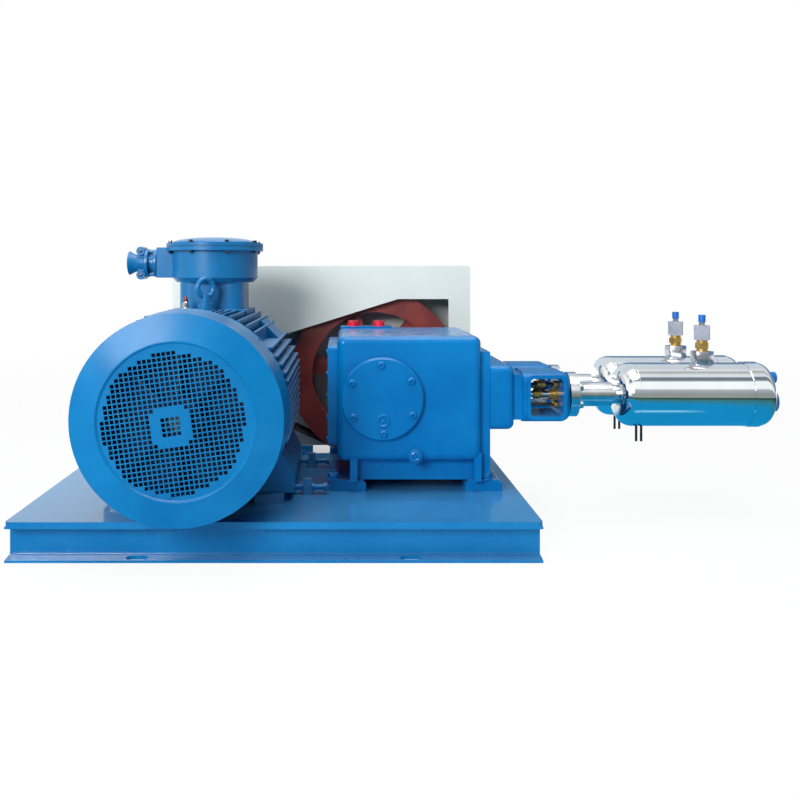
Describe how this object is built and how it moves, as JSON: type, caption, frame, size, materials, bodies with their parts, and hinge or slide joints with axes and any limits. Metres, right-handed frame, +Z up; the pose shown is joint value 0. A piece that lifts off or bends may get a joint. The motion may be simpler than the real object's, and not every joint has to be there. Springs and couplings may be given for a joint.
{
  "type": "high pressure reciprocating pump skid",
  "caption": "Skid-mounted horizontal reciprocating pump: finned motor, belt-driven flywheel behind a sheet guard, crankcase, and two polished steel cold ends side by side.",
  "frame": {"origin": "centre of the four anchor slots at the underside of the skid's channels", "axes": "+X from the motor towards the cold ends, +Y from the fan cover towards the flywheel, +Z up"},
  "size_m": [1.726, 0.9423, 0.6805],
  "materials": {
    "skid_paint": "satin",
    "motor_paint": "gloss",
    "pump_paint": "gloss",
    "guard_paint": "satin",
    "red_primer": "matt",
    "machined_steel": "turned",
    "pulley_iron": "machined",
    "belt_rubber": "matt",
    "polished_steel": "mirror polished",
    "brass": "machined",
    "red_plastic": "moulded",
    "blue_plastic": "moulded"
  },
  "bodies": {
    "skid": {"deck_plate": "skid_paint", "front_channel": "skid_paint", "rear_channel": "skid_paint", "left_channel": "skid_paint", "right_channel": "skid_paint", "cross_members": "skid_paint", "motor_rails": "skid_paint", "motor_frame": "motor_paint", "motor_rear_shield": "motor_paint", "fan_cover": "motor_paint", "fan_grille": "motor_paint", "terminal_box_neck": "motor_paint", "terminal_box": "motor_paint", "terminal_box_lid": "motor_paint", "cable_gland": "motor_paint", "lifting_eye": "motor_paint", "drive_belts": "belt_rubber", "belt_guard_front": "guard_paint", "belt_guard_back": "guard_paint", "belt_guard_rim": "guard_paint", "crankcase": "pump_paint", "crankcase_front_cover": "pump_paint", "crankcase_side_cover": "pump_paint", "bearing_housing": "pump_paint", "breather_caps": "red_plastic", "jack_blocks": "skid_paint", "jack_screws": "machined_steel", "crosshead_flange": "pump_paint", "crosshead_block": "pump_paint", "lantern_housing_front": "pump_paint", "lantern_housing_rear": "pump_paint", "rod_couplings": "brass", "packing_glands": "brass", "end_flanges": "machined_steel", "vessel_front": "polished_steel", "vessel_rear": "polished_steel", "outlet_bosses": "polished_steel", "brass_fittings": "brass", "union_nuts": "machined_steel", "outlet_caps": "blue_plastic", "drain_tubes": "polished_steel", "nozzles": "polished_steel", "nozzle_caps": "blue_plastic"},
    "flywheel_rotor": {"flywheel": "red_primer", "crankshaft": "machined_steel"},
    "motor_rotor": {"motor_shaft": "machined_steel", "motor_pulley": "pulley_iron", "cooling_fan": "motor_paint"}
  },
  "joints": [
    {"name": "flywheel_spin", "type": "hinge", "parent": "skid", "child": "flywheel_rotor", "pos_m": [0.231, 0.414, 0.302], "axis": [0, 1, 0], "continuous": true},
    {"name": "motor_spin", "type": "hinge", "parent": "skid", "child": "motor_rotor", "pos_m": [-0.181, 0.414, 0.305], "axis": [0, 1, 0], "continuous": true}
  ],
  "couplings": [
    {"joint": "motor_spin", "follows": "flywheel_spin", "ratio": 3.336}
  ]
}
